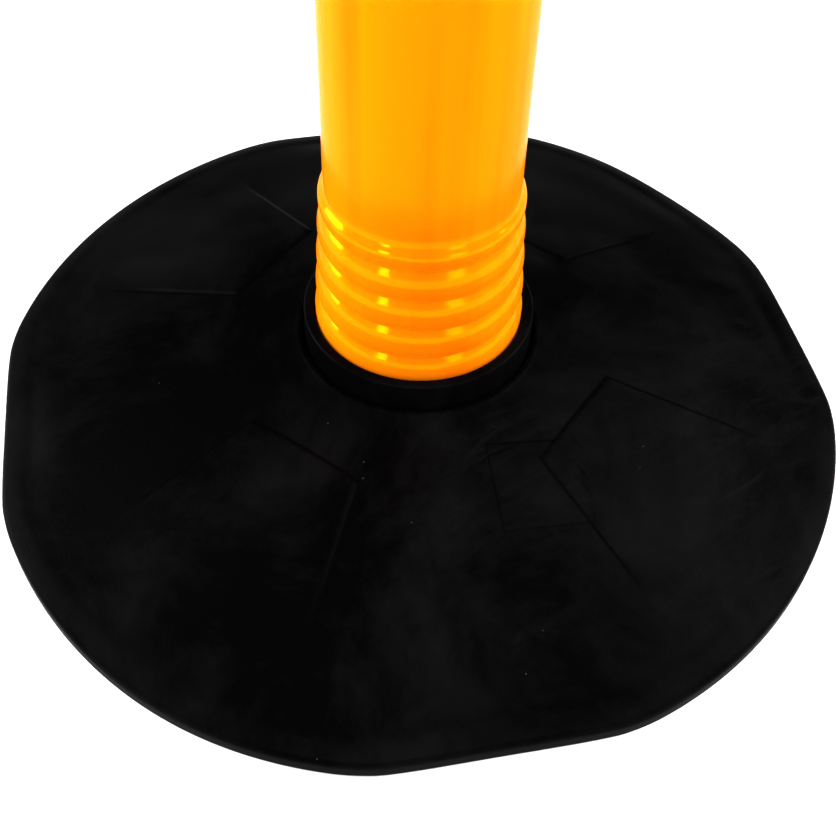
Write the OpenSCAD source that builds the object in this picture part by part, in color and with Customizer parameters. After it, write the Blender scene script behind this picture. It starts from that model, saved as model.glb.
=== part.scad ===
// Delineator post: a hollow flexible post with a ribbed spring-back section and a grab handle,
// standing in a heavy round base that drops over its top.
// The origin is on the post's axis at ground level, +Z is up, and lengths are in millimetres.

/* [Base] */
// Diameter of the base
base_d = 406; // [338:1:488]
// Depth that each of the four flats cuts into the rim
flat_cut = 6; // [2:0.5:10]
// Turn of the flats about the axis, in degrees
flat_turn = 11.5; // [0:0.5:45]
// Height of the upright face of the rim
rim_face_h = 9; // [6:0.5:11]
// Height of the top of the rim, where the cone starts
rim_top = 13; // [12:0.5:16]
// Width of the rounded band round the rim
rim_band = 12; // [8:1:18]
// Height of the collar, the top of the cone
collar_top = 45; // [40:1:55]
// Width of the collar round the ring's groove
collar_w = 2.8; // [2.2:0.2:8]
// Depth of the hollow under the base
under_depth = 4; // [2:0.5:6]

/* [Pads] */
// Distance from the collar to a raised pad's inner edge
pad_start = 29; // [15:1:40]
// Distance from the base's edge to a raised pad's outer edge
pad_margin = 37; // [34:1:50]
// Half of the angle that a pad spans
pad_half_angle = 19; // [10:1:30]
// Height of a pad above the cone
pad_rise = 1; // [0.6:0.2:3]

/* [Collar ring] */
// Height of the ring's top above the collar
ring_rise = 14; // [6:1:16]
// Thickness of the ring's wall
ring_wall = 5; // [3:0.5:6]
// Depth of the seat that the ring stands on, below the collar's top
seat_drop = 9; // [7:0.5:14]

/* [Post] */
// Height of the whole post with its handle
post_h = 1118; // [700:1:1300]
// Outer diameter of the tube
tube_d = 83; // [69:1:100]
// Thickness of the tube's wall
tube_wall = 2.6; // [1.6:0.2:4]
// How far the plug, the thick end in the base, stands out from the tube
plug_swell = 5.8; // [4:0.2:9]
// How far the foot flange under the base stands out from the plug
flange_w = 16.7; // [10:0.1:25]
// Thickness of the foot flange
flange_h = 12; // [8:1:14]

/* [Ribs] */
// Number of ribs round the spring-back section
rib_count = 5; // [3:1:7]
// Height of the lowest rib's crest above the ring
rib_lift = 2; // [1:0.5:10]
// Distance from one rib to the next
rib_pitch = 16; // [12:1:20]
// Depth of the grooves between the ribs
rib_depth = 2.2; // [1:0.2:3]
// How far the highest rib's crest stands out from the tube
rib_swell = 2.5; // [1.5:0.1:3.5]

/* [Bands] */
// Width of the upper reflective band
band_upper_w = 152; // [75:1:160]
// Width of the lower reflective band
band_lower_w = 102; // [75:1:160]
// Distance from the top of the tube to the upper band
band_drop = 51; // [48:1:90]
// Distance between the two bands
band_gap = 51; // [20:1:150]
// Thickness of the reflective sheet
band_t = 0.5; // [0.3:0.1:0.8]

/* [Handle] */
// Height of the handle above the tube
handle_h = 84; // [74:1:110]
// Diameter of the round grip bar
grip_d = 18; // [12:1:20]
// Depth of the handle's plug in the tube
cap_depth = 42; // [36:1:46]
// Thickness of the handle's plug wall
cap_wall = 4; // [2:0.5:6]
// Diameter of the rivets
rivet_d = 5; // [3:0.5:6]

/* [Fits] */
// Radial gap between the post and what slides along it
slide_gap = 0.5; // [0.3:0.1:0.8]
// Radial gap between the ring and the base that turns round it
turn_gap = 0.4; // [0.3:0.1:0.6]
// Radial gap between pieces fastened together
seat_gap = 0.1; // [0.05:0.05:0.2]

/* [Hidden] */
$fn = 96;

black = [0.05, 0.05, 0.055];
amber = [1.0, 0.70, 0.05];
silver = [0.86, 0.87, 0.88];
steel = [0.62, 0.63, 0.65];

through = 1;          // how far a cutting shape runs past what it cuts
sky = 200;            // a height above every part of the base
far = base_d;         // a distance past the base's edge

// Post
tube_r = tube_d / 2;
tube_top = post_h - handle_h;
plug_r = tube_r + plug_swell;
flange_r = plug_r + flange_w;
rib_low_r = plug_r + 0.1;
rib_top_r = tube_r + rib_swell;
ring_top = collar_top + ring_rise;
rib_start = ring_top + rib_lift;
rib_last = rib_start + (rib_count - 1) * rib_pitch;
neck_z = rib_last + rib_pitch * 0.3;
neck_r = tube_r + 0.1;
smooth_z = neck_z + 3 * rib_pitch;
foot_top = rib_start + rib_pitch / 2;
flex_top = rib_last - rib_pitch / 2;
rib_step = rib_pitch / 12;
rib_round = 2.4;      // the higher, the broader the crests and the sharper the grooves

// Base
base_r = base_d / 2;
flat_reach = base_r - flat_cut;
ring_seat = collar_top - seat_drop;
bore_r = rib_low_r + slide_gap + 0.2;
ring_in_r = rib_low_r + slide_gap;
ring_out_r = ring_in_r + ring_wall;
pocket_r = flange_r + 2;
bead_h = 4;
bead_out = 0.9;
groove_r = ring_out_r + turn_gap + bead_out;
collar_r = groove_r + collar_w;
pad_inner = collar_r + pad_start;
pad_outer = base_r - pad_margin;
undercut_r = ring_out_r + bead_out + turn_gap + 0.5;
undercut_top = ring_seat + bead_h + 0.4;
flat_step = 0.6;      // the step from the cone down to the band along a flat
rim_slope = (collar_top - rim_top) / (base_r - rim_band - collar_r);
under_in = pocket_r + 14;
under_out = base_r - 24;
under_rib_w = 9;
under_rib_count = 8;
tab_w = 40;           // the small square plate beside one pad
tab_x = 37;
tab_y = -pad_inner - 7;

// Bands
band_upper_top = tube_top - band_drop;
band_lower_top = band_upper_top - band_upper_w - band_gap;
band_rim = 0.1;       // how far a band lies below the tube's surface

// Handle
cap_rim_h = 5;
cap_rim_r = tube_r + 1.2;
dome_h = 14;
cap_plug_r = tube_r - tube_wall - seat_gap;
cap_arch_r = cap_rim_r - grip_d / 2;
arch_z = post_h - grip_d / 2 - cap_arch_r;
rivet_z = tube_top - cap_depth / 2;
rivet_head_r = rivet_d * 1.15;
rivet_head_h = 2;

// Height of the cone's surface at a radius
function cone_z(r) = collar_top - (r - collar_r) * rim_slope;

// Radius of the line along the rib crests at a height
function crest_r(z) = rib_low_r + (rib_top_r - rib_low_r) * (z - rib_start) / (rib_last - rib_start);

// Distance from the nearest rib's crest, from 0 on it to 1 in the groove
function off_crest(z) = let (turns = (z - rib_start) / rib_pitch) 2 * abs(turns - round(turns));

// Half a cosine wave, from 0 at t = 0 to 1 at t = 1
function ease(t) = (1 - cos(180 * t)) / 2;

// Outer radius of the post at a height
function skin_r(z) =
    z <= rib_start ? plug_r :
    z <= rib_last ? crest_r(z) - rib_depth * pow(off_crest(z), rib_round) :
    z <= neck_z ? rib_top_r + (neck_r - rib_top_r) * ease((z - rib_last) / (neck_z - rib_last)) :
    z <= smooth_z ? neck_r + (tube_r - neck_r) * ease((z - neck_z) / (smooth_z - neck_z)) :
    tube_r;

// Heights from low to high, no more than rib_step apart
function heights(low, high) =
    let (steps = ceil((high - low) / rib_step - 0.001))
    [for (i = [0 : steps]) low + (high - low) * i / steps];

// A stretch of the post's wall as a turned shell
module wall(zs) {
    count = len(zs);
    rotate_extrude()
        polygon([
            for (z = zs) [skin_r(z), z],
            for (i = [count - 1 : -1 : 0]) [skin_r(zs[i]) - tube_wall, zs[i]]
        ]);
}

// A plain turned band between two radii and two heights
module band(inner_r, outer_r, low, high) {
    rotate_extrude()
        polygon([[inner_r, low], [outer_r, low], [outer_r, high], [inner_r, high]]);
}

// The turned disc of the base: rim, cone, collar, ring seat, bore and flange pocket
module base_disc() {
    band_start = base_r - rim_band;
    rotate_extrude()
        polygon([
            [pocket_r, 0],
            [base_r - 1.5, 0],
            [base_r, 1.5],
            [base_r, rim_face_h - 2.5],
            for (a = [0 : 15 : 75])
                [base_r - 4 + 4 * cos(a), rim_face_h - 2.5 + 4 * sin(a)],
            [band_start, rim_top],
            [collar_r, collar_top],
            [collar_r - 1.2, collar_top + 0.5],
            [groove_r + 1, collar_top + 0.5],
            [groove_r, collar_top - 0.5],
            [groove_r, undercut_top + 0.6],
            [undercut_r, undercut_top],
            [undercut_r, ring_seat],
            [bore_r, ring_seat],
            [bore_r, flange_h],
            [pocket_r, flange_h]
        ]);
}

// Everything inside one flat, with the rim's rounded band running along the flat
module flat_side() {
    rotate([90, 0, 0])
        linear_extrude(2 * far, center = true)
            polygon([
                [-far, -through],
                [flat_reach, -through],
                [flat_reach, rim_face_h - 1.5],
                [flat_reach - 1.5, rim_face_h + 0.8],
                [flat_reach - rim_band, rim_top - flat_step],
                [flat_reach - rim_band, sky],
                [-far, sky]
            ]);
}

// One raised pad: a slice of a slightly higher cone, with a straight inner edge
module pad() {
    chord = pad_inner / cos(pad_half_angle);
    reach = far / cos(pad_half_angle);
    intersection() {
        rotate_extrude()
            polygon([
                [pad_inner - 2, cone_z(pad_inner - 2) + pad_rise],
                [pad_outer, cone_z(pad_outer) + pad_rise],
                [pad_outer, cone_z(pad_outer) - 2],
                [pad_inner - 2, cone_z(pad_inner - 2) - 2]
            ]);
        linear_extrude(sky)
            polygon([
                chord * [cos(pad_half_angle), -sin(pad_half_angle)],
                reach * [cos(pad_half_angle), -sin(pad_half_angle)],
                reach * [cos(pad_half_angle), sin(pad_half_angle)],
                chord * [cos(pad_half_angle), sin(pad_half_angle)]
            ]);
    }
}

// The small plate beside one pad, lying on the cone
module tab() {
    plate_in = norm([tab_x, tab_y]) - tab_w;
    plate_out = norm([tab_x, tab_y]) + tab_w;
    intersection() {
        rotate_extrude()
            polygon([
                [plate_in, cone_z(plate_in) + pad_rise / 2],
                [plate_out, cone_z(plate_out) + pad_rise / 2],
                [plate_out, cone_z(plate_out) - 2],
                [plate_in, cone_z(plate_in) - 2]
            ]);
        rotate(flat_turn)
            translate([tab_x, tab_y, sky / 2])
                cube([tab_w, tab_w, sky], center = true);
    }
}

// The hollow under the base, crossed by radial ribs
module under_hollow() {
    difference() {
        band(under_in, under_out, -through, under_depth);
        for (i = [0 : under_rib_count / 2 - 1])
            rotate(flat_turn + i * 360 / under_rib_count)
                cube([2 * far, under_rib_w, sky], center = true);
    }
}

// The heavy moulded base
module base_body() {
    color(black)
        difference() {
            intersection() {
                union() {
                    base_disc();
                    for (i = [0 : 3])
                        rotate(flat_turn + 45 + i * 90)
                            pad();
                    tab();
                }
                for_flats(0);
                for_flats(1);
                for_flats(2);
                for_flats(3);
            }
            under_hollow();
        }
}

// The keep-shape of one numbered flat
module for_flats(i) {
    rotate(flat_turn + i * 90)
        flat_side();
}

// The loose ring round the post, snapped into the base's collar by a low bead
module collar_ring() {
    lip = 1.2;
    color(black)
        rotate_extrude()
            polygon([
                [ring_in_r, ring_seat],
                [ring_out_r + bead_out, ring_seat],
                [ring_out_r + bead_out, ring_seat + bead_h - 1],
                [ring_out_r, ring_seat + bead_h],
                [ring_out_r, ring_top - lip],
                for (a = [15 : 15 : 90])
                    [ring_out_r - lip + lip * cos(a), ring_top - lip + lip * sin(a)],
                for (a = [90 : 15 : 165])
                    [ring_in_r + lip + lip * cos(a), ring_top - lip + lip * sin(a)],
                [ring_in_r, ring_top - lip]
            ]);
}

// The post's foot: the flange under the base, the plug and the lowest rib
module post_foot() {
    color(amber)
        union() {
            wall([0, rib_start, for (z = heights(rib_start, foot_top)) if (z > rib_start) z]);
            band(plug_r - tube_wall / 2, flange_r, 0, flange_h);
        }
}

// The ribs between the foot and the tube, which bend when the post is struck
module flex_section() {
    color(amber)
        wall(heights(foot_top, flex_top));
}

// The tube, from the highest rib up, with shallow seats for the bands and holes for the rivets
module post_tube() {
    color(amber)
        difference() {
            wall([for (z = heights(flex_top, smooth_z)) z, tube_top]);
            band_seat(band_upper_top, band_upper_w);
            band_seat(band_lower_top, band_lower_w);
            rivet_shafts(rivet_d / 2, tube_r + through);
        }
}

// The shallow seat of one reflective band
module band_seat(top, width) {
    band(tube_r - band_rim - band_t - seat_gap / 2, tube_r + through, top - width - seat_gap, top + seat_gap);
}

// One reflective band: a sheet wrapped round the tube
module reflective_band(top, width) {
    color(silver)
        band(tube_r - band_rim - band_t, tube_r - band_rim, top - width, top);
}

module band_upper() {
    reflective_band(band_upper_top, band_upper_w);
}

module band_lower() {
    reflective_band(band_lower_top, band_lower_w);
}

// Two radial shafts, one on each side of the tube
module rivet_shafts(radius, reach) {
    inner = cap_plug_r - cap_wall - through;
    for (side = [-1, 1])
        translate([0, side * (inner + reach) / 2, rivet_z])
            rotate([90, 0, 0])
                cylinder(h = reach - inner, r = radius, center = true);
}

// The grab handle: a plug, a domed cap and a round bar bent into an arch
module handle_cap() {
    color(amber)
        difference() {
            union() {
                band(cap_plug_r - cap_wall, cap_plug_r, tube_top - cap_depth, tube_top + through);
                cap_dome();
                grip();
            }
            rivet_shafts(rivet_d / 2, tube_r + through);
        }
}

// The domed top that closes the tube
module cap_dome() {
    rotate_extrude()
        polygon([
            [0, tube_top],
            [cap_rim_r, tube_top],
            [cap_rim_r, tube_top + cap_rim_h],
            for (a = [15 : 15 : 75])
                [cap_rim_r * cos(a), tube_top + cap_rim_h + dome_h * sin(a)],
            [0, tube_top + cap_rim_h + dome_h]
        ]);
}

// The arch of the grip and its two legs
module grip() {
    for (side = [-1, 1])
        translate([side * cap_arch_r, 0, tube_top + cap_rim_h / 2])
            cylinder(h = arch_z - tube_top - cap_rim_h / 2, r = grip_d / 2);
    translate([0, 0, arch_z])
        rotate([90, 0, 0])
            rotate_extrude(angle = 180)
                translate([cap_arch_r, 0])
                    circle(grip_d / 2);
}

// The rivets that hold the handle in the tube
module cap_rivets() {
    shank_r = rivet_d / 2 - seat_gap;
    inner = cap_plug_r - cap_wall;
    color(steel)
        for (side = [0, 180])
            rotate(side)
                translate([0, 0, rivet_z])
                    rotate([-90, 0, 0])
                        rotate_extrude()
                            polygon([
                                [0, inner],
                                [shank_r, inner],
                                [shank_r, tube_r],
                                [rivet_head_r, tube_r],
                                for (a = [0 : 15 : 75])
                                    [rivet_head_r * cos(a), tube_r + 0.3 + (rivet_head_h - 0.3) * sin(a)],
                                [0, tube_r + rivet_head_h]
                            ]);
}

base_body();
collar_ring();
post_foot();
flex_section();
post_tube();
band_upper();
band_lower();
handle_cap();
cap_rivets();
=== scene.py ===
import math

import bmesh
import bpy
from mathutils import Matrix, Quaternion, Vector, noise


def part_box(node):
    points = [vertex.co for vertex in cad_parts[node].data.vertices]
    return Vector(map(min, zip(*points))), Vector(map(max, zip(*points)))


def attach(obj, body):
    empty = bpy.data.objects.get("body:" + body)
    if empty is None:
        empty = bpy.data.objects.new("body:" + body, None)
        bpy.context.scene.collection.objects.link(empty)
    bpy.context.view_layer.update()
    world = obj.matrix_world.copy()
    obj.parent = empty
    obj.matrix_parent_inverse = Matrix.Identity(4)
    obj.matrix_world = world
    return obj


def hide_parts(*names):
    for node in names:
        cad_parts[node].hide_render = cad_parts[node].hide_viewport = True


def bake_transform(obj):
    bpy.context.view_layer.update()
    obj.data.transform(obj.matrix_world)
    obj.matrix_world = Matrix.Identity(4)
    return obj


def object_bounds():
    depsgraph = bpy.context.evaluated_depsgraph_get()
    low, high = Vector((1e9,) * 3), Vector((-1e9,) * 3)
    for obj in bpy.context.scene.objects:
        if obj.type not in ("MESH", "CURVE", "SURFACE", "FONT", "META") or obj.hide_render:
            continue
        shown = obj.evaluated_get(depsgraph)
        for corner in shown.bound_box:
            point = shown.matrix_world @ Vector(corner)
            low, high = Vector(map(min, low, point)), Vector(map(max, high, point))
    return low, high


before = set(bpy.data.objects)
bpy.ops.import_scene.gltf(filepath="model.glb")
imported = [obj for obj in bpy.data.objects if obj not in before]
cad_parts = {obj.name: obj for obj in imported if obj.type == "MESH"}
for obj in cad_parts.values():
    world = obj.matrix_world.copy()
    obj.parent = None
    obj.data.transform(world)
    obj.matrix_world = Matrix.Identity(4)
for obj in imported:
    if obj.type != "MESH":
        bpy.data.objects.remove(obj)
cad_low, cad_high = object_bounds()
scene = bpy.context.scene

# ---------------------------------------------------------------------------------------------
# The studio: a pale matt floor, a soft light overhead, a tall soft light at each side for the
# long bright edges of the glossy tube, and two low strips in front for the glints on its ribs.
# ---------------------------------------------------------------------------------------------
scene.view_settings.view_transform = "Standard"

ground_z = cad_low.z
floor_half = 6.0
floor_bm = bmesh.new()
bmesh.ops.create_grid(floor_bm, x_segments=1, y_segments=1, size=floor_half)
bmesh.ops.translate(floor_bm, verts=floor_bm.verts, vec=(0, 0, ground_z))
floor_mesh = bpy.data.meshes.new("floor")
floor_bm.to_mesh(floor_mesh)
floor_bm.free()
floor = bpy.data.objects.new("floor", floor_mesh)
scene.collection.objects.link(floor)

floor_paint = bpy.data.materials.new("floor_paint")
floor_paint.use_nodes = True
floor_shader = floor_paint.node_tree.nodes["Principled BSDF"]
floor_shader.inputs["Base Color"].default_value = (0.86, 0.86, 0.86, 1)
floor_shader.inputs["Roughness"].default_value = 0.9
floor_mesh.materials.append(floor_paint)

world = bpy.data.worlds.new("studio")
scene.world = world
world.use_nodes = True
world.node_tree.nodes["Background"].inputs["Color"].default_value = (1, 1, 1, 1)
world.node_tree.nodes["Background"].inputs["Strength"].default_value = 0.15


def soft_light(name, place, aim, width, height, power):
    """A rectangular soft light at a place, facing a point."""
    lamp = bpy.data.lights.new(name, "AREA")
    lamp.shape = "RECTANGLE"
    lamp.size = width
    lamp.size_y = height
    lamp.energy = power
    holder = bpy.data.objects.new(name, lamp)
    holder.location = place
    holder.rotation_mode = "QUATERNION"
    holder.rotation_quaternion = (Vector(aim) - Vector(place)).to_track_quat("-Z", "Y")
    scene.collection.objects.link(holder)


soft_light("left_light", (-1.7, 0.25, 0.9), (0, 0, 0.45), 0.9, 1.8, 68)
soft_light("right_light", (1.7, 0.25, 1.3), (0, 0, 0.45), 0.9, 1.8, 68)
soft_light("left_strip", (-0.95, -1.4, 0.35), (0, 0, 0.1), 0.22, 0.7, 6)
soft_light("right_strip", (1.0, -1.35, 0.35), (0, 0, 0.1), 0.45, 0.7, 5)
soft_light("top_light", (0.0, -1.5, 2.4), (0, 0, 0.1), 1.8, 1.8, 98)

# The camera stands in front of the base and looks down on it, a little off its middle
eye_rise = math.radians(48.5)
eye_reach = 0.6107
eye_turn = math.radians(-0.13)
eye_tip = math.radians(-0.96)
eye_roll = math.radians(1.86)
eye = Vector((0, -math.cos(eye_rise), math.sin(eye_rise))) * eye_reach
camera = bpy.data.cameras.new("camera")
camera.sensor_width = 36
camera.lens = 52.9
camera.clip_start = 0.02
viewer = bpy.data.objects.new("camera", camera)
viewer.location = eye
viewer.rotation_mode = "QUATERNION"
viewer.rotation_quaternion = (
    (-eye).to_track_quat("-Z", "Y")
    @ Quaternion((0, 1, 0), eye_turn)
    @ Quaternion((1, 0, 0), eye_tip)
    @ Quaternion((0, 0, 1), eye_roll)
)
scene.collection.objects.link(viewer)
scene.camera = viewer

# ---------------------------------------------------------------------------------------------
# The base: a heavy disc of recycled black PVC, pressed in a mould. It has four flats so that it
# doesn't roll, four raised pads and a small plate on its cone, a collar for the ring, and a
# ribbed hollow below.
# ---------------------------------------------------------------------------------------------
base_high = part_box("base_body")[1]
ring_low, ring_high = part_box("collar_ring")
foot_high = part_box("post_foot")[1]

base_r = 0.203
flat_reach = 0.197
flat_turn = math.radians(11.5)
rim_face_h = 0.009
rim_top = 0.013
rim_band = 0.012
rim_round = 0.004
collar_r = 0.057
ridge_rise = 0.0005
ridge_round = 0.0017
collar_top = base_high.z - ridge_rise
groove_r = 0.0542
groove_round = 0.0012
undercut_r = 0.0547
bore_r = 0.0481
pocket_gap = 0.002
pocket_r = foot_high.x + pocket_gap
pocket_top = 0.012
seat_z = ring_low.z
under_depth = 0.004
under_wall = 0.014
under_rim = 0.024
under_in = pocket_r + under_wall
under_out = base_r - under_rim
pad_inner = 0.086
pad_outer = 0.166
pad_half = math.radians(19)
pad_rise = 0.0010
pad_step = 0.0026
pad_fade = 0.035

# Where edges run along a raised step, as shares of its width from its foot
STEP_CUTS = (-0.5, 0.0, 0.25, 0.75, 1.0)


def cone_z(r):
    """Height of the cone's surface at a radius."""
    return collar_top - (r - collar_r) * (collar_top - rim_top) / (base_r - rim_band - collar_r)


def arc(cx, cz, radius, start, end, count):
    """Points on an arc in the (radius, height) plane, angles in degrees."""
    return [
        (cx + radius * math.cos(math.radians(a)), cz + radius * math.sin(math.radians(a)))
        for a in (start + (end - start) * i / count for i in range(count + 1))
    ]


def level(start, end, z, gap):
    """Points along a level stretch of an outline, ends included, no further apart than gap."""
    count = math.ceil((end - start) / gap)
    return [(start + (end - start) * i / count, z) for i in range(count + 1)]


def turn(bm, outline, segments):
    """Spins a closed outline of (radius, height) points about the post's axis."""
    verts = [bm.verts.new((r, 0, z)) for r, z in outline]
    edges = [bm.edges.new(pair) for pair in zip(verts, verts[1:] + verts[:1])]
    bmesh.ops.spin(
        bm, geom=verts + edges, axis=(0, 0, 1), cent=(0, 0, 0), steps=segments,
        angle=2 * math.pi, use_merge=True, use_duplicate=False,
    )


def finish_piece(name, bm, sharp=40):
    """Makes an object of a bmesh: outward normals, smooth faces, and edges kept sharp past an angle."""
    bmesh.ops.remove_doubles(bm, verts=bm.verts, dist=1e-6)
    bmesh.ops.recalc_face_normals(bm, faces=bm.faces)
    mesh = bpy.data.meshes.new(name)
    bm.to_mesh(mesh)
    bm.free()
    mesh.shade_smooth()
    mesh.set_sharp_from_angle(angle=math.radians(sharp))
    piece = bpy.data.objects.new(name, mesh)
    scene.collection.objects.link(piece)
    return piece


def smooth(t):
    """A soft step from 0 to 1."""
    t = min(1.0, max(0.0, t))
    return t * t * (3 - 2 * t)


def radius_of(v):
    return math.hypot(v.co.x, v.co.y)


# The half section, from the flange pocket out along the ground, over the rim and up the cone
base_outline = (
    [(pocket_r, 0.0), (under_in, 0.0), (under_in + 0.001, under_depth)]
    + level(under_in + 0.003, under_out - 0.003, under_depth, 0.008)
    + [(under_out - 0.001, under_depth), (under_out, 0.0), (base_r - 0.0015, 0.0), (base_r, 0.0015)]
    + [(base_r, 0.004)]
    + arc(base_r - rim_round, rim_face_h - 0.0025, rim_round, 0, 75, 6)
    + [(base_r - rim_band * 0.6, rim_top - 0.0009), (base_r - rim_band + 0.0012, rim_top - 0.0001)]
    + [(base_r - rim_band - 0.0012, cone_z(base_r - rim_band - 0.0012))]
)
cone_rings = [0.187, 0.181, 0.175, 0.170, pad_outer]
cone_rings += [0.160 - 0.006 * i for i in range(17)]
base_outline += [(r, cone_z(r)) for r in cone_rings]
base_outline += (
    [(collar_r + 0.0012, cone_z(collar_r + 0.0012))]
    + arc(collar_r - 0.0009, collar_top + ridge_rise - ridge_round, ridge_round, 60, 90, 3)
    + arc(groove_r + groove_round, collar_top + ridge_rise - groove_round, groove_round, 90, 180, 4)
    + [(groove_r, seat_z + 0.005), (undercut_r, seat_z + 0.0044), (undercut_r, seat_z), (bore_r, seat_z)]
    + [(bore_r, pocket_top + 0.0006), (bore_r + 0.0006, pocket_top), (pocket_r, pocket_top)]
)

base_bm = bmesh.new()
turn(base_bm, base_outline, 360)


flat_end = 0.006
flat_end_ease = 0.0010

# The pressed disc isn't quite round: where its rim stands out or in, how widely, and how far
swells = (
    (math.radians(-116), math.radians(26), 0.0037),
    (math.radians(-50), math.radians(30), 0.0009),
    (math.radians(44), math.radians(14), -0.0033),
)


def rim_reach(angle):
    """Distance from the axis to the rim in a direction, with the flats taken off and their ends eased."""
    off = (angle - flat_turn + math.pi / 4) % (math.pi / 2) - math.pi / 4
    chord = flat_reach / math.cos(off)
    near = max(0.0, 1 - abs(chord - base_r) / flat_end)
    swell = sum(far * math.exp(-(((angle - heading) / spread) ** 2)) for heading, spread, far in swells)
    return min(base_r, chord) - near * near * flat_end_ease + swell


# The rim follows the flats, and the cone eases back to round a little way in from the edge
ease_back = 0.030
for v in base_bm.verts:
    r = radius_of(v)
    inward = base_r - r
    if inward < ease_back:
        share = 1 - smooth((inward - rim_band) / (ease_back - rim_band))
        shift = (base_r - rim_reach(math.atan2(v.co.y, v.co.x))) * share
        v.co.x *= (r - shift) / r
        v.co.y *= (r - shift) / r


def cut_near(bm, wanted, point, normal):
    """Cuts the faces that are wanted along a plane, so that an edge of a raised shape runs there."""
    faces = [f for f in bm.faces if wanted(f)]
    edges = {e for f in faces for e in f.edges}
    verts = {v for f in faces for v in f.verts}
    bmesh.ops.bisect_plane(
        bm, geom=list(verts) + list(edges) + faces, dist=1e-6, plane_co=point, plane_no=normal,
    )


def pad_depth(spot, heading):
    """How far a point lies inside the sides and the inner edge of the pad that lies in a direction."""
    along = spot.x * math.cos(heading) + spot.y * math.sin(heading)
    across = -spot.x * math.sin(heading) + spot.y * math.cos(heading)
    side = along * math.sin(pad_half) - abs(across) * math.cos(pad_half)
    return min(side, along - pad_inner)


pad_headings = [flat_turn + math.radians(45 + 90 * i) for i in range(4)]
for heading in pad_headings:
    def near_pad(f):
        spot = f.calc_center_median()
        r = math.hypot(spot.x, spot.y)
        off = (math.atan2(spot.y, spot.x) - heading + math.pi) % (2 * math.pi) - math.pi
        on_ring = pad_inner - 0.01 < r < pad_outer + 0.001
        return spot.z > rim_top and on_ring and abs(off) < pad_half + 0.06

    ahead = Vector((math.cos(heading), math.sin(heading), 0))
    for cut in STEP_CUTS:
        cut_near(base_bm, near_pad, ahead * (pad_inner + cut * pad_step), ahead)
        for hand in (-1, 1):
            edge_heading = heading + hand * pad_half
            inward = Vector((math.sin(edge_heading), -math.cos(edge_heading), 0)) * hand
            cut_near(base_bm, near_pad, inward * cut * pad_step, inward)

# The small square plate beside one pad, in line with the flats, half as high as a pad
tab_half = 0.020
tab_step = pad_step / 2
tab_x = 0.037
tab_y = -pad_inner - 0.007
tab_near = 0.034
tab_axes = (
    Vector((math.cos(flat_turn), math.sin(flat_turn), 0)),
    Vector((-math.sin(flat_turn), math.cos(flat_turn), 0)),
)
tab_spot = tab_axes[0] * tab_x + tab_axes[1] * tab_y


def near_tab(f):
    spot = f.calc_center_median()
    flat_spot = Vector((spot.x, spot.y, 0))
    inside_pad = max(pad_depth(flat_spot, heading) for heading in pad_headings)
    return spot.z > rim_top and (flat_spot - tab_spot).length < tab_near and inside_pad < 0.004


for axis in tab_axes:
    for hand in (-1, 1):
        for cut in STEP_CUTS:
            cut_near(base_bm, near_tab, tab_spot + axis * hand * (tab_half - cut * tab_step), axis)


def tab_depth(v):
    """How far a point lies inside the nearest side of the plate."""
    spot = Vector((v.co.x, v.co.y, 0)) - tab_spot
    return tab_half - max(abs(spot.dot(axis)) for axis in tab_axes)


# The pads and the plate rise from the cone, which is softly uneven. Wear pales the edges that get
# rubbed, and the foot of each step is darkened as painted shade, a dark line along its cleft.
uneven_scale = 14
uneven_depth = 0.00025
pad_wear_half = 0.0016
rim_wear_half = 0.003
wear = base_bm.verts.layers.float.new("wear")
cleft_painted_shade = base_bm.verts.layers.float.new("cleft_painted_shade")
for v in base_bm.verts:
    r = radius_of(v)
    if v.co.z < rim_face_h * 0.5 or r < collar_r:
        continue
    depth = max(pad_depth(v.co, heading) for heading in pad_headings)
    fade = smooth((pad_outer - r) / pad_fade)
    raised = pad_rise * smooth(depth / pad_step) * fade
    v.co.z += max(raised, pad_rise / 2 * smooth(tab_depth(v) / tab_step))
    uneven = noise.noise(v.co * uneven_scale) * uneven_depth * smooth((r - collar_r) / 0.02)
    v.co.z += uneven * smooth((base_r - 0.02 - r) / 0.02)
    worn_pad = (1 - min(1.0, abs(depth - pad_step) / pad_wear_half)) * fade
    worn_rim = 1 - min(1.0, abs(base_r - rim_wear_half - r) / rim_wear_half)
    # Painted shade: a narrow band along the foot of each pad and of the plate, which the material turns
    # back to the deep black
    pad_foot_painted_shade = (1 - min(1.0, abs(depth) / (pad_step / 2))) * smooth((pad_outer - r) / 0.015)
    tab_foot_painted_shade = 1 - min(1.0, abs(tab_depth(v)) / (tab_step / 2))
    v[cleft_painted_shade] = max(pad_foot_painted_shade, tab_foot_painted_shade * 0.8)
    v[wear] = max(worn_pad * 0.1, worn_rim * 0.15, 0.0)

# Radial ribs cross the hollow under the base
rib_half = 0.0045
rib_foot = 0.001
for i in range(4):
    heading = flat_turn + math.radians(45 * i)
    across = Vector((-math.sin(heading), math.cos(heading), 0))

    def near_rib(f):
        spot = f.calc_center_median()
        return abs(spot.z - under_depth) < 0.0005 and abs(spot.dot(across)) < rib_half + 0.0115

    for hand in (-1, 1):
        for cut in (0.0, rib_foot):
            cut_near(base_bm, near_rib, across * hand * (rib_half + cut), across)
    for v in base_bm.verts:
        ceiling = abs(v.co.z - under_depth) < 0.0005 and under_in < radius_of(v) < under_out
        if ceiling and abs(v.co.dot(across)) < rib_half + 1e-5:
            v.co.z = 0.0002

base = finish_piece("base", base_bm, sharp=38)


def add(tree, kind, values=None, **settings):
    """A new shader node with its settings and the values of its unlinked sockets."""
    made = tree.nodes.new(kind)
    for key, value in settings.items():
        setattr(made, key, value)
    for key, value in (values or {}).items():
        made.inputs[key].default_value = value
    return made


def wire(tree, *pairs):
    """Links sockets, given as (node, output, node, input)."""
    for source, out, target, into in pairs:
        tree.links.new(source.outputs[out], target.inputs[into])


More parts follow.
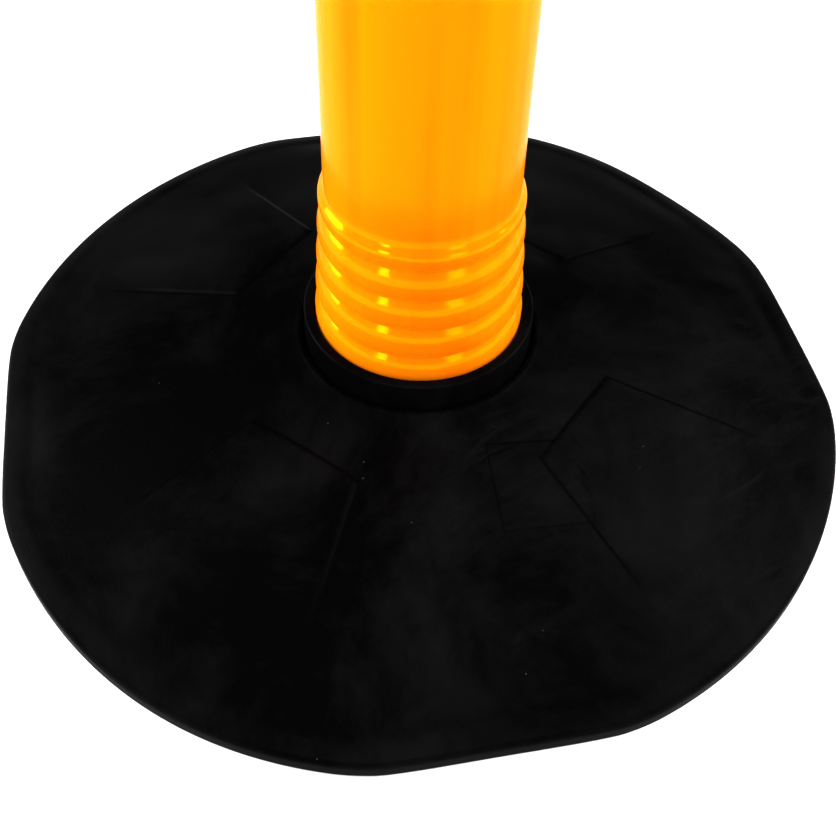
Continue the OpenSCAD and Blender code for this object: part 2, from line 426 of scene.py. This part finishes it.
def new_group(name, inputs, outputs):
    """A shader node group with named float or vector sockets, and its two end nodes."""
    group = bpy.data.node_groups.new(name, "ShaderNodeTree")
    for label, kind, value in inputs:
        socket = group.interface.new_socket(label, in_out="INPUT", socket_type=kind)
        if value is not None:
            socket.default_value = value
    for label, kind in outputs:
        group.interface.new_socket(label, in_out="OUTPUT", socket_type=kind)
    return group, group.nodes.new("NodeGroupInput"), group.nodes.new("NodeGroupOutput")


FLOAT, VECTOR = "NodeSocketFloat", "NodeSocketVector"

# Moulded grain: fine pores over a soft unevenness, as a height
grain, grain_in, grain_out = new_group(
    "moulded_grain", [("Vector", VECTOR, None), ("Pore Size", FLOAT, 900.0)], [("Height", FLOAT)],
)
pores = add(grain, "ShaderNodeTexNoise", {"Detail": 3.0, "Roughness": 0.6})
swell = add(grain, "ShaderNodeTexNoise", {"Scale": 60.0, "Detail": 2.0})
both = add(grain, "ShaderNodeMath", {1: 0.45}, operation="MULTIPLY_ADD")
wire(grain, (grain_in, "Vector", pores, "Vector"), (grain_in, "Pore Size", pores, "Scale"),
     (grain_in, "Vector", swell, "Vector"), (swell, "Fac", both, 0), (pores, "Fac", both, 2),
     (both, 0, grain_out, "Height"))

# Scuffs: long rubbed smears in loose patches, as a mask
scuffs, scuffs_in, scuffs_out = new_group(
    "scuffs",
    [("Vector", VECTOR, None), ("Turn", FLOAT, 0.6), ("Cover", FLOAT, 0.55)],
    [("Mask", FLOAT)],
)
turned = add(scuffs, "ShaderNodeVectorRotate", rotation_type="Z_AXIS")
drawn = add(scuffs, "ShaderNodeMapping", {"Scale": (110, 24, 40)})
streaks = add(
    scuffs, "ShaderNodeTexNoise", {"Scale": 1.0, "Detail": 7.0, "Roughness": 0.72, "Distortion": 1.2},
)
patches = add(scuffs, "ShaderNodeTexNoise", {"Scale": 9.0, "Detail": 3.0, "Roughness": 0.55})
streak_cut = add(scuffs, "ShaderNodeMapRange", {"From Min": 0.5, "From Max": 0.75})
patch_cut = add(scuffs, "ShaderNodeMapRange", {"From Max": 0.8})
scuff_mix = add(scuffs, "ShaderNodeMath", operation="MULTIPLY")
wire(scuffs, (scuffs_in, "Vector", turned, "Vector"), (scuffs_in, "Turn", turned, "Angle"),
     (turned, 0, drawn, "Vector"), (drawn, 0, streaks, "Vector"), (scuffs_in, "Vector", patches, "Vector"),
     (streaks, "Fac", streak_cut, "Value"), (patches, "Fac", patch_cut, "Value"),
     (scuffs_in, "Cover", patch_cut, "From Min"), (streak_cut, 0, scuff_mix, 0),
     (patch_cut, 0, scuff_mix, 1), (scuff_mix, 0, scuffs_out, "Mask"))

# Specks: tiny bright grains and dust, here and there, as a mask
specks, specks_in, specks_out = new_group(
    "specks",
    [("Vector", VECTOR, None), ("Scale", FLOAT, 420.0), ("Size", FLOAT, 0.13)],
    [("Mask", FLOAT)],
)
cells = add(specks, "ShaderNodeTexVoronoi")
speck_cut = add(specks, "ShaderNodeMath", operation="LESS_THAN")
chosen = add(specks, "ShaderNodeSeparateColor")
rare = add(specks, "ShaderNodeMath", {1: 0.996}, operation="GREATER_THAN")
speck_mix = add(specks, "ShaderNodeMath", operation="MULTIPLY")
wire(specks, (specks_in, "Vector", cells, "Vector"), (specks_in, "Scale", cells, "Scale"),
     (cells, "Distance", speck_cut, 0), (specks_in, "Size", speck_cut, 1),
     (cells, "Color", chosen, "Color"), (chosen, "Red", rare, 0), (speck_cut, 0, speck_mix, 0),
     (rare, 0, speck_mix, 1), (speck_mix, 0, specks_out, "Mask"))


def use_group(tree, group, values=None):
    """A node group placed in a material, with the values of its unlinked sockets."""
    made = tree.nodes.new("ShaderNodeGroup")
    made.node_tree = group
    for key, value in (values or {}).items():
        made.inputs[key].default_value = value
    return made


def mix_colour(tree, a=None, b=None):
    """A colour mix node: its factor is input 0, its colours are inputs 6 and 7, its result is output 2."""
    made = add(tree, "ShaderNodeMix", data_type="RGBA")
    if a:
        made.inputs[6].default_value = (*a, 1)
    if b:
        made.inputs[7].default_value = (*b, 1)
    return made


def grey(tone):
    return (tone, tone, tone)


def pvc(name, deep, haze, worn, rough):
    """Pressed black PVC: hazy patches, rubbed smears, specks, paler worn edges, and painted shade
    darkening the clefts at the foot of each step.
    """
    material = bpy.data.materials.new(name)
    material.use_nodes = True
    tree = material.node_tree
    shader = tree.nodes["Principled BSDF"]
    shader.inputs["IOR"].default_value = 1.05
    spot = add(tree, "ShaderNodeTexCoord")
    clouds = add(
        tree, "ShaderNodeTexNoise", {"Scale": 12.0, "Detail": 9.0, "Roughness": 0.68, "Distortion": 0.4},
    )
    cloud_cut = add(tree, "ShaderNodeMapRange", {"From Min": 0.43, "From Max": 0.73})
    hazed = mix_colour(tree, deep, haze)
    smears = use_group(tree, scuffs, {"Turn": 0.9, "Cover": 0.5})
    smeared = mix_colour(tree, None, worn)
    dust = use_group(tree, specks)
    dusted = mix_colour(tree, None, grey(0.02))
    # Painted shade along the foot of each step: this attribute mixes the colour back to the deep black
    # there
    cleft_shade_reader = add(tree, "ShaderNodeAttribute", attribute_name="cleft_painted_shade")
    cleft_shaded = mix_colour(tree, None, deep)
    edges = add(tree, "ShaderNodeAttribute", attribute_name="wear")
    edge_rag = add(tree, "ShaderNodeTexNoise", {"Scale": 120.0, "Detail": 3.0})
    edge_cut = add(tree, "ShaderNodeMapRange", {"From Min": 0.45, "From Max": 0.7, "To Max": 0.8})
    edge_mask = add(tree, "ShaderNodeMath", operation="MULTIPLY")
    edged = mix_colour(tree, None, worn)
    smear_share = add(tree, "ShaderNodeMath", {1: 0.7}, operation="MULTIPLY")
    rough_clouds = add(tree, "ShaderNodeMapRange", {"To Min": rough - 0.07, "To Max": rough + 0.10})
    rough_smears = add(tree, "ShaderNodeMath", {1: 0.16}, operation="MULTIPLY_ADD")
    skin = use_group(tree, grain)
    bump = add(tree, "ShaderNodeBump", {"Strength": 0.35, "Distance": 0.0003})
    wire(tree, (spot, "Object", clouds, "Vector"), (clouds, "Fac", cloud_cut, "Value"),
         (cloud_cut, 0, hazed, 0), (spot, "Object", smears, "Vector"), (smears, "Mask", smear_share, 0),
         (smear_share, 0, smeared, 0), (hazed, 2, smeared, 6), (spot, "Object", dust, "Vector"),
         (dust, "Mask", dusted, 0), (smeared, 2, dusted, 6), (spot, "Object", edge_rag, "Vector"),
         (edge_rag, "Fac", edge_cut, "Value"), (edges, "Fac", edge_mask, 0), (edge_cut, 0, edge_mask, 1),
         (edge_mask, 0, edged, 0), (cleft_shade_reader, "Fac", cleft_shaded, 0),
         (dusted, 2, cleft_shaded, 6), (cleft_shaded, 2, edged, 6), (edged, 2, shader, "Base Color"),
         (clouds, "Fac", rough_clouds, "Value"), (smears, "Mask", rough_smears, 0),
         (rough_clouds, 0, rough_smears, 2), (rough_smears, 0, shader, "Roughness"),
         (spot, "Object", skin, "Vector"), (skin, "Height", bump, "Height"), (bump, 0, shader, "Normal"))
    return material


base.data.materials.append(pvc("black_pvc", grey(0.0003), grey(0.0028), grey(0.0050), 0.42))
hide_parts("base_body")
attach(base, "base")

# ---------------------------------------------------------------------------------------------
# The collar ring: a loose ring of the same black PVC, snapped into the base's collar by a low
# bead. It closes the gap round the post and lets the base turn.
# ---------------------------------------------------------------------------------------------
ring_in_r = 0.0479
ring_out_r = 0.0529
bead_r = ring_high.x
bead_h = 0.004
lip = 0.0012
ring_outline = (
    [(ring_in_r + 0.0004, ring_low.z), (bead_r - 0.0004, ring_low.z), (bead_r, ring_low.z + 0.0004)]
    + [(bead_r, ring_low.z + bead_h - 0.001), (ring_out_r, ring_low.z + bead_h)]
    + [(ring_out_r, ring_high.z - 0.008)]
    + arc(ring_out_r - lip, ring_high.z - lip, lip, 0, 90, 6)
    + arc(ring_in_r + lip, ring_high.z - lip, lip, 90, 180, 6)
    + [(ring_in_r, ring_low.z + 0.0004)]
)
ring_bm = bmesh.new()
turn(ring_bm, ring_outline, 240)
ring = finish_piece("ring", ring_bm)
ring.data.materials.append(pvc("ring_pvc", grey(0.0006), grey(0.0028), grey(0.007), 0.36))
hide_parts("collar_ring")
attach(ring, "ring")

# ---------------------------------------------------------------------------------------------
# The post: one blow moulding of amber polyethylene, with a foot flange under the base, a thick
# plug, a ribbed section that bends and springs back, and a long plain tube with band seats.
# ---------------------------------------------------------------------------------------------
tube_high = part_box("post_tube")[1]
upper_low, upper_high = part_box("band_upper")
lower_low, lower_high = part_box("band_lower")

tube_r = 0.0415
tube_wall = 0.0026
plug_r = 0.0473
rib_pitch = 0.016
rib_depth = 0.0022
rib_round = 2.4
rib_count = 5
rib_start = foot_high.z - rib_pitch / 2
rib_last = rib_start + (rib_count - 1) * rib_pitch
rib_low_r = plug_r + 0.0001
rib_top_r = 0.044
neck_z = rib_last + rib_pitch * 0.3
neck_r = tube_r + 0.0001
smooth_z = neck_z + 3 * rib_pitch
flange_r = foot_high.x
flange_h = 0.012
band_sink = 0.00065


def skin_r(z):
    """Outer radius of the post at a height."""
    if z <= rib_start:
        return plug_r
    if z <= rib_last:
        crest = rib_low_r + (rib_top_r - rib_low_r) * (z - rib_start) / (rib_last - rib_start)
        turns = (z - rib_start) / rib_pitch
        return crest - rib_depth * (2 * abs(turns - round(turns))) ** rib_round
    if z <= neck_z:
        share = (1 - math.cos(math.pi * (z - rib_last) / (neck_z - rib_last))) / 2
        return rib_top_r + (neck_r - rib_top_r) * share
    if z <= smooth_z:
        share = (1 - math.cos(math.pi * (z - neck_z) / (smooth_z - neck_z))) / 2
        return neck_r + (tube_r - neck_r) * share
    return tube_r


def band_steps(low, high):
    """The heights and radii of one shallow band seat, with softly rounded ends."""
    sunk = tube_r - band_sink
    return [
        (tube_r, low - 0.0012), (tube_r - 0.0001, low - 0.0005), (sunk, low - 0.0001),
        (sunk, high + 0.0001), (tube_r - 0.0001, high + 0.0005), (tube_r, high + 0.0012),
    ]


rib_gap = 0.001
neck_gap = 0.004
tube_gap = 0.02
rib_zone = [rib_start + rib_gap * i for i in range(1, round((neck_z - rib_start) / rib_gap))]
neck_zone = [neck_z + neck_gap * i for i in range(round((smooth_z - neck_z) / neck_gap))]
tube_zone = [smooth_z + tube_gap * i for i in range(int((lower_low.z - 0.01 - smooth_z) / tube_gap))]
post_outline = (
    [(plug_r - tube_wall, 0.0), (flange_r - 0.001, 0.0), (flange_r, 0.001)]
    + [(flange_r, flange_h - 0.001), (flange_r - 0.001, flange_h - 0.0002)]
    + [(plug_r + 0.0008, flange_h - 0.0002), (plug_r, flange_h + 0.0006), (plug_r, 0.03), (plug_r, 0.05)]
    + [(skin_r(z), z) for z in [rib_start] + rib_zone + neck_zone]
    + [(tube_r, z) for z in tube_zone]
    + band_steps(lower_low.z, lower_high.z)
    + band_steps(upper_low.z, upper_high.z)
    + [(tube_r, tube_high.z - 0.02), (tube_r, tube_high.z - 0.0004), (tube_r - 0.0004, tube_high.z)]
    + [(tube_r - tube_wall, tube_high.z)]
    + [(tube_r - tube_wall, smooth_z + 0.3), (tube_r - tube_wall, smooth_z + 0.1)]
    + [(skin_r(z) - tube_wall, z) for z in reversed([rib_start] + rib_zone + neck_zone)]
)
post_bm = bmesh.new()
turn(post_bm, post_outline, 180)
post = finish_piece("post", post_bm)


def polyethylene(name, deep, grazing_sheen, streak, streak_stretch):
    """Glossy coloured polyethylene: slow ripples and streaks from the mould, faint rub marks, and a
    painted sheen that turns the colour yellower where the surface is seen at a slant.
    """
    material = bpy.data.materials.new(name)
    material.use_nodes = True
    tree = material.node_tree
    shader = tree.nodes["Principled BSDF"]
    shader.inputs["IOR"].default_value = 1.05
    shader.inputs["Metallic"].default_value = 0.28
    shader.inputs["Specular Tint"].default_value = (1.0, 0.7, 0.1, 1)
    shader.inputs["Subsurface Weight"].default_value = 0.2
    shader.inputs["Subsurface Scale"].default_value = 1.0
    shader.inputs["Subsurface Radius"].default_value = (0.002, 0.001, 0.0002)
    spot = add(tree, "ShaderNodeTexCoord")
    drawn = add(tree, "ShaderNodeMapping", {"Scale": streak_stretch})
    ripple = add(tree, "ShaderNodeTexNoise", {"Scale": 1.0, "Detail": 3.0, "Roughness": 0.5})
    # Painted sheen: the Layer Weight facing value mixes the colour toward a yellower amber where the
    # surface is seen at a slant
    sheen_facing = add(tree, "ShaderNodeLayerWeight", {"Blend": 0.35})
    tone = mix_colour(tree, deep, grazing_sheen)
    streak_cut = add(tree, "ShaderNodeMapRange", {"From Min": 0.48, "From Max": 0.68, "To Max": 0.7})
    streaked = mix_colour(tree, None, streak)
    rubs = use_group(tree, scuffs, {"Turn": 0.2, "Cover": 0.56})
    rubbed = mix_colour(tree, None, (1.0, 0.5, 0.04))
    rub_share = add(tree, "ShaderNodeMath", {1: 0.22}, operation="MULTIPLY")
    rough = add(tree, "ShaderNodeMath", {1: 0.25}, operation="MULTIPLY_ADD")
    rough_base = add(tree, "ShaderNodeMapRange", {"To Min": 0.11, "To Max": 0.18})
    bump = add(tree, "ShaderNodeBump", {"Strength": 0.4, "Distance": 0.0008})
    fine = add(tree, "ShaderNodeTexNoise", {"Scale": 420.0, "Detail": 2.0})
    fine_bump = add(tree, "ShaderNodeBump", {"Strength": 0.12, "Distance": 0.0002})
    wire(tree, (spot, "Object", drawn, "Vector"), (drawn, 0, ripple, "Vector"), (sheen_facing, "Facing", tone, 0),
         (spot, "Object", rubs, "Vector"), (rubs, "Mask", rub_share, 0), (rub_share, 0, rubbed, 0),
         (ripple, "Fac", streak_cut, "Value"), (streak_cut, 0, streaked, 0), (tone, 2, streaked, 6),
         (streaked, 2, rubbed, 6), (rubbed, 2, shader, "Base Color"), (ripple, "Fac", rough_base, "Value"),
         (rubs, "Mask", rough, 0), (rough_base, 0, rough, 2), (rough, 0, shader, "Roughness"),
         (ripple, "Fac", bump, "Height"), (spot, "Object", fine, "Vector"),
         (fine, "Fac", fine_bump, "Height"), (bump, 0, fine_bump, "Normal"),
         (fine_bump, 0, shader, "Normal"))
    return material


# The second amber is the colour of a painted sheen, which the slanting faces of the post and the handle
# take
amber = (1.0, 0.185, 0.0004)
amber_grazing_sheen = (1.0, 0.28, 0.001)
amber_streak = (1.0, 0.145, 0.0003)
post.data.materials.append(
    polyethylene("amber_polyethylene", amber, amber_grazing_sheen, amber_streak, (55, 55, 3))
)
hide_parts("post_foot", "flex_section", "post_tube")
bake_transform(post)

# ---------------------------------------------------------------------------------------------
# The reflective bands: adhesive sheet with a honeycomb of sealed cells, wrapped once round the
# tube in its shallow seat, with its end lapped over its start at the back.
# ---------------------------------------------------------------------------------------------
sheet_t = 0.0005
sheet_sink = 0.0001
lap_rise = 0.00012
lap_half = math.radians(7)
lap_edge = math.radians(0.6)


def wrapped_band(name, low, high):
    """One band: a thin sleeve whose outer face rises where the sheet laps over itself."""
    out_r = tube_r - sheet_sink - lap_rise
    in_r = tube_r - sheet_sink - sheet_t
    bm = bmesh.new()
    turn(bm, [(in_r, low), (out_r - 0.0001, low), (out_r, low + 0.0001), (out_r, high - 0.0001),
              (out_r - 0.0001, high), (in_r, high)], 240)
    for v in bm.verts:
        off = abs(math.atan2(v.co.x, v.co.y))
        if radius_of(v) > in_r + 0.0001 and off < lap_half + lap_edge:
            grow = 1 + lap_rise / out_r * smooth((lap_half + lap_edge - off) / lap_edge)
            v.co.x *= grow
            v.co.y *= grow
    return finish_piece(name, bm)


sheeting = bpy.data.materials.new("reflective_sheeting")
sheeting.use_nodes = True
sheet_tree = sheeting.node_tree
sheet_shader = sheet_tree.nodes["Principled BSDF"]
sheet_shader.inputs["Coat Weight"].default_value = 0.6
sheet_shader.inputs["Coat Roughness"].default_value = 0.08
sheet_shader.inputs["IOR"].default_value = 1.5
cell_pitch = 0.0042
place = add(sheet_tree, "ShaderNodeTexCoord")
apart = add(sheet_tree, "ShaderNodeSeparateXYZ")
round_angle = add(sheet_tree, "ShaderNodeMath", operation="ARCTAN2")
arc_length = add(sheet_tree, "ShaderNodeMath", {1: tube_r}, operation="MULTIPLY")
wire(sheet_tree, (place, "Object", apart, 0), (apart, "X", round_angle, 0), (apart, "Y", round_angle, 1),
     (round_angle, 0, arc_length, 0))
waves = []
for i in range(3):
    heading = math.radians(60 * i + 30)
    reach = 2 * math.pi / (cell_pitch * math.cos(math.radians(30)))
    from_arc = add(sheet_tree, "ShaderNodeMath", {1: math.cos(heading) * reach}, operation="MULTIPLY")
    from_both = add(sheet_tree, "ShaderNodeMath", {1: math.sin(heading) * reach}, operation="MULTIPLY_ADD")
    wave = add(sheet_tree, "ShaderNodeMath", operation="COSINE")
    wire(sheet_tree, (arc_length, 0, from_arc, 0), (apart, "Z", from_both, 0), (from_arc, 0, from_both, 2),
         (from_both, 0, wave, 0))
    waves.append(wave)
pair = add(sheet_tree, "ShaderNodeMath", operation="ADD")
total = add(sheet_tree, "ShaderNodeMath", operation="ADD")
walls = add(
    sheet_tree, "ShaderNodeMapRange", {"From Min": -1.05, "From Max": -0.75, "To Min": 1.0, "To Max": 0.0},
)
film = mix_colour(sheet_tree, (0.40, 0.42, 0.44), (0.22, 0.23, 0.25))
blotch = add(sheet_tree, "ShaderNodeTexNoise", {"Scale": 22.0, "Detail": 4.0})
blotch_cut = add(sheet_tree, "ShaderNodeMapRange", {"From Min": 0.5, "From Max": 0.8, "To Max": 0.25})
aged = mix_colour(sheet_tree, None, (0.28, 0.27, 0.24))
film_rough = add(sheet_tree, "ShaderNodeMapRange", {"To Min": 0.22, "To Max": 0.42})
film_bump = add(sheet_tree, "ShaderNodeBump", {"Strength": 0.3, "Distance": 0.0001})
wire(sheet_tree, (waves[0], 0, pair, 0), (waves[1], 0, pair, 1), (pair, 0, total, 0),
     (waves[2], 0, total, 1),
     (total, 0, walls, "Value"), (walls, 0, film, 0), (place, "Object", blotch, "Vector"),
     (blotch, "Fac", blotch_cut, "Value"), (blotch_cut, 0, aged, 0), (film, 2, aged, 6),
     (aged, 2, sheet_shader, "Base Color"), (blotch, "Fac", film_rough, "Value"),
     (film_rough, 0, sheet_shader, "Roughness"), (walls, 0, film_bump, "Height"),
     (film_bump, 0, sheet_shader, "Normal"))

for node, low, high in (("band_upper", upper_low, upper_high), ("band_lower", lower_low, lower_high)):
    band = wrapped_band("sheet_" + node, low.z, high.z)
    band.data.materials.append(sheeting)
    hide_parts(node)
    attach(band, "upper_post")

# ---------------------------------------------------------------------------------------------
# The handle: one moulding, with a cup that plugs the tube, a domed cap and a round bar bent into
# an arch for the fingers. Its corners flow into each other, as moulded corners do.
# ---------------------------------------------------------------------------------------------
cap_low, cap_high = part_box("handle_cap")
cap_rim_r = tube_r + 0.0012
cap_plug_r = tube_r - tube_wall - 0.0001
cap_wall = 0.004
dome_h = 0.014
cap_rim_h = 0.005
cap_pole_r = 0.0004
grip_r = 0.009
arch_r = cap_rim_r - grip_r
arch_z = cap_high.z - grip_r - arch_r
cap_top = tube_high.z
cap_outline = (
    [(cap_plug_r - cap_wall, cap_low.z), (cap_plug_r, cap_low.z), (cap_plug_r, cap_top + 0.0002)]
    + [(cap_rim_r - 0.0008, cap_top + 0.0002), (cap_rim_r, cap_top + 0.001)]
    + [(cap_rim_r, cap_top + cap_rim_h)]
    + [(cap_rim_r * math.cos(math.radians(a)), cap_top + cap_rim_h + dome_h * math.sin(math.radians(a)))
       for a in range(6, 90, 6)]
    + [(cap_pole_r, cap_top + cap_rim_h + dome_h), (cap_pole_r, cap_top)]
    + [(cap_plug_r - cap_wall, cap_top)]
)
cap_bm = bmesh.new()
turn(cap_bm, cap_outline, 120)
bmesh.ops.remove_doubles(cap_bm, verts=cap_bm.verts, dist=1e-5)

leg_foot = cap_top + cap_rim_h
section = bmesh.ops.create_circle(cap_bm, segments=32, radius=grip_r)["verts"]
bmesh.ops.translate(cap_bm, verts=section, vec=(arch_r, 0, leg_foot))
bar_edges = [e for e in cap_bm.edges if e.verts[0] in section and e.verts[1] in section]
grown = bmesh.ops.extrude_edge_only(cap_bm, edges=bar_edges)["geom"]
top_verts = [g for g in grown if isinstance(g, bmesh.types.BMVert)]
bmesh.ops.translate(cap_bm, verts=top_verts, vec=(0, 0, arch_z - leg_foot))
grown_edges = [g for g in grown if isinstance(g, bmesh.types.BMEdge)]
top_edges = [e for e in grown_edges if all(v in top_verts for v in e.verts)]
bent = bmesh.ops.spin(
    cap_bm, geom=top_verts + top_edges, axis=(0, -1, 0), cent=(0, 0, arch_z), steps=40, angle=math.pi,
)["geom_last"]
end_edges = [g for g in bent if isinstance(g, bmesh.types.BMEdge)]
grown = bmesh.ops.extrude_edge_only(cap_bm, edges=end_edges)["geom"]
end_verts = [g for g in grown if isinstance(g, bmesh.types.BMVert)]
bmesh.ops.translate(cap_bm, verts=end_verts, vec=(0, 0, leg_foot - arch_z))
bmesh.ops.holes_fill(cap_bm, edges=cap_bm.edges, sides=32)
rough_cap = finish_piece("rough_cap", cap_bm)

melt = rough_cap.modifiers.new("melt", "REMESH")
melt.mode = "VOXEL"
melt.voxel_size = 0.0011
ease_corners = rough_cap.modifiers.new("ease_corners", "SMOOTH")
ease_corners.factor = 0.5
ease_corners.iterations = 6
melted_cap = rough_cap.evaluated_get(bpy.context.evaluated_depsgraph_get())
handle_mesh = bpy.data.meshes.new_from_object(melted_cap)
bpy.data.objects.remove(rough_cap)
handle_mesh.shade_smooth()
handle = bpy.data.objects.new("handle", handle_mesh)
scene.collection.objects.link(handle)
handle_mesh.materials.clear()
handle_mesh.materials.append(
    polyethylene("handle_polyethylene", amber, amber_grazing_sheen, amber_streak, (30, 30, 30))
)
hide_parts("handle_cap")
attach(handle, "upper_post")

# ---------------------------------------------------------------------------------------------
# The rivets: two aluminium blind rivets through the tube and the handle's plug, each with a
# domed head and the small pit that its drawn pin leaves.
# ---------------------------------------------------------------------------------------------
rivet_low, rivet_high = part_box("cap_rivets")
rivet_z = (rivet_low.z + rivet_high.z) / 2
head_r = rivet_high.x
head_top = rivet_high.y
head_seat = tube_r
head_edge = 0.0003
dome_foot = head_seat + head_edge
shank_end = 0.0352
shank_r = 0.0024
pit_r = 0.001
pit_floor = head_top - 0.0007
rivet_outline = (
    [(0.0, shank_end), (shank_r, shank_end), (shank_r, head_seat)]
    + [(head_r - head_edge, head_seat), (head_r, dome_foot)]
    + [(head_r * math.cos(math.radians(a)), dome_foot + (head_top - dome_foot) * math.sin(math.radians(a)))
       for a in (15, 30, 45, 60, 70)]
    + [(pit_r + 0.0002, head_top - 0.0001), (pit_r, pit_floor), (0.0, pit_floor)]
)
rivets_bm = bmesh.new()
for hand in (-1, 1):
    verts = [rivets_bm.verts.new((r, hand * y, rivet_z)) for r, y in rivet_outline]
    edges = [rivets_bm.edges.new(pair) for pair in zip(verts, verts[1:])]
    bmesh.ops.spin(
        rivets_bm, geom=verts + edges, axis=(0, 1, 0), cent=(0, 0, rivet_z), steps=36,
        angle=2 * math.pi, use_merge=True,
    )
rivets = finish_piece("rivets", rivets_bm)

metal = bpy.data.materials.new("rivet_aluminium")
metal.use_nodes = True
metal_tree = metal.node_tree
metal_shader = metal_tree.nodes["Principled BSDF"]
metal_shader.inputs["Metallic"].default_value = 1.0
metal_spot = add(metal_tree, "ShaderNodeTexCoord")
metal_grain = add(metal_tree, "ShaderNodeTexNoise", {"Scale": 700.0, "Detail": 4.0})
metal_tone = mix_colour(metal_tree, (0.62, 0.63, 0.65), (0.44, 0.44, 0.45))
metal_rough = add(metal_tree, "ShaderNodeMapRange", {"To Min": 0.22, "To Max": 0.5})
metal_bump = add(metal_tree, "ShaderNodeBump", {"Strength": 0.2, "Distance": 0.0001})
wire(metal_tree, (metal_spot, "Object", metal_grain, "Vector"), (metal_grain, "Fac", metal_tone, 0),
     (metal_tone, 2, metal_shader, "Base Color"), (metal_grain, "Fac", metal_rough, "Value"),
     (metal_rough, 0, metal_shader, "Roughness"), (metal_grain, "Fac", metal_bump, "Height"),
     (metal_bump, 0, metal_shader, "Normal"))
rivets.data.materials.append(metal)
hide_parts("cap_rivets")
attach(rivets, "upper_post")
